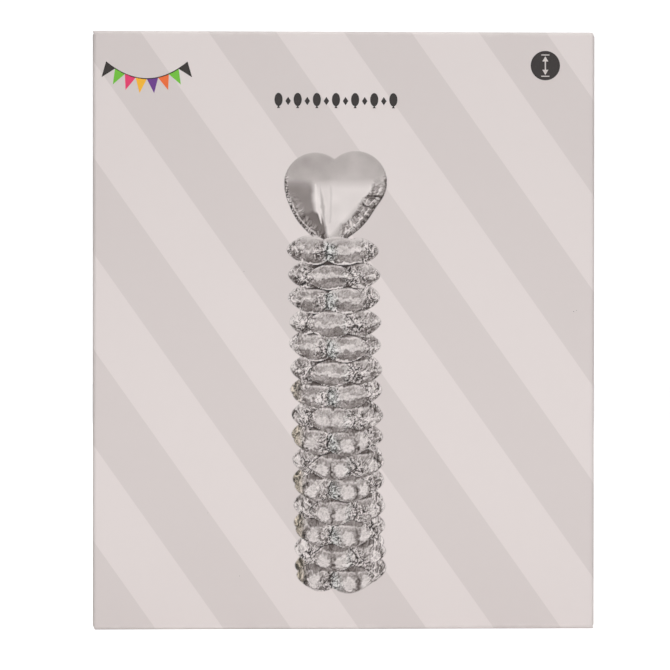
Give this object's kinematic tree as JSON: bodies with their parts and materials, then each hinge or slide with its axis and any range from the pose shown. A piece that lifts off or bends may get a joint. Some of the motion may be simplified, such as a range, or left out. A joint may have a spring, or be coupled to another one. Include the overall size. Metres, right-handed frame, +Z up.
{
  "type": "straight tuck end folding carton",
  "caption": "Flat folding carton of striped paperboard, with hinged top and bottom lids, tuck flaps and dust flaps, standing upright and empty.",
  "frame": {"origin": "middle of the carton's footprint, on the surface that it stands on", "axes": "+Z up along the height, +X to the right seen from the front, and the printed front looks towards -Y"},
  "size_m": [0.21, 0.02, 0.25],
  "materials": {
    "printed_board": "satin, diagonal stripes in two pale pinkish greys",
    "plain_board": "uncoated, greyish white"
  },
  "bodies": {
    "sleeve": {"front_panel": "printed_board", "back_panel": "printed_board", "left_side_panel": "printed_board", "right_side_panel": "printed_board", "glue_flap": "printed_board"},
    "top_lid": {"top_lid": "printed_board"},
    "top_tuck_flap": {"top_tuck_flap": "printed_board"},
    "top_dust_flap_left": {"top_dust_flap_left": "plain_board"},
    "top_dust_flap_right": {"top_dust_flap_right": "plain_board"},
    "bottom_lid": {"bottom_lid": "printed_board"},
    "bottom_tuck_flap": {"bottom_tuck_flap": "printed_board"},
    "bottom_dust_flap_left": {"bottom_dust_flap_left": "plain_board"},
    "bottom_dust_flap_right": {"bottom_dust_flap_right": "plain_board"}
  },
  "joints": [
    {"name": "top_lid_hinge", "type": "hinge", "parent": "sleeve", "child": "top_lid", "pos_m": [0, -0.00971, 0.24971], "axis": [1, 0, 0], "range_deg": [0, 160]},
    {"name": "top_tuck_crease", "type": "hinge", "parent": "top_lid", "child": "top_tuck_flap", "pos_m": [0, 0.00894, 0.24954], "axis": [1, 0, 0], "range_deg": [0, 34]},
    {"name": "top_dust_left_crease", "type": "hinge", "parent": "sleeve", "child": "top_dust_flap_left", "pos_m": [-0.1037, 0, 0.2485], "axis": [0, 1, 0], "range_deg": [0, 75]},
    {"name": "top_dust_right_crease", "type": "hinge", "parent": "sleeve", "child": "top_dust_flap_right", "pos_m": [0.1037, 0, 0.2485], "axis": [0, -1, 0], "range_deg": [0, 75]},
    {"name": "bottom_lid_hinge", "type": "hinge", "parent": "sleeve", "child": "bottom_lid", "pos_m": [0, -0.00971, 0.00029], "axis": [-1, 0, 0], "range_deg": [0, 160]},
    {"name": "bottom_tuck_crease", "type": "hinge", "parent": "bottom_lid", "child": "bottom_tuck_flap", "pos_m": [0, 0.00894, 0.00046], "axis": [-1, 0, 0], "range_deg": [0, 34]},
    {"name": "bottom_dust_left_crease", "type": "hinge", "parent": "sleeve", "child": "bottom_dust_flap_left", "pos_m": [-0.1037, 0, 0.0015], "axis": [0, -1, 0], "range_deg": [0, 75]},
    {"name": "bottom_dust_right_crease", "type": "hinge", "parent": "sleeve", "child": "bottom_dust_flap_right", "pos_m": [0.1037, 0, 0.0015], "axis": [0, 1, 0], "range_deg": [0, 75]}
  ],
  "couplings": [
    {"joint": "top_tuck_crease", "follows": "top_lid_hinge", "ratio": 0.2},
    {"joint": "bottom_tuck_crease", "follows": "bottom_lid_hinge", "ratio": 0.2}
  ]
}
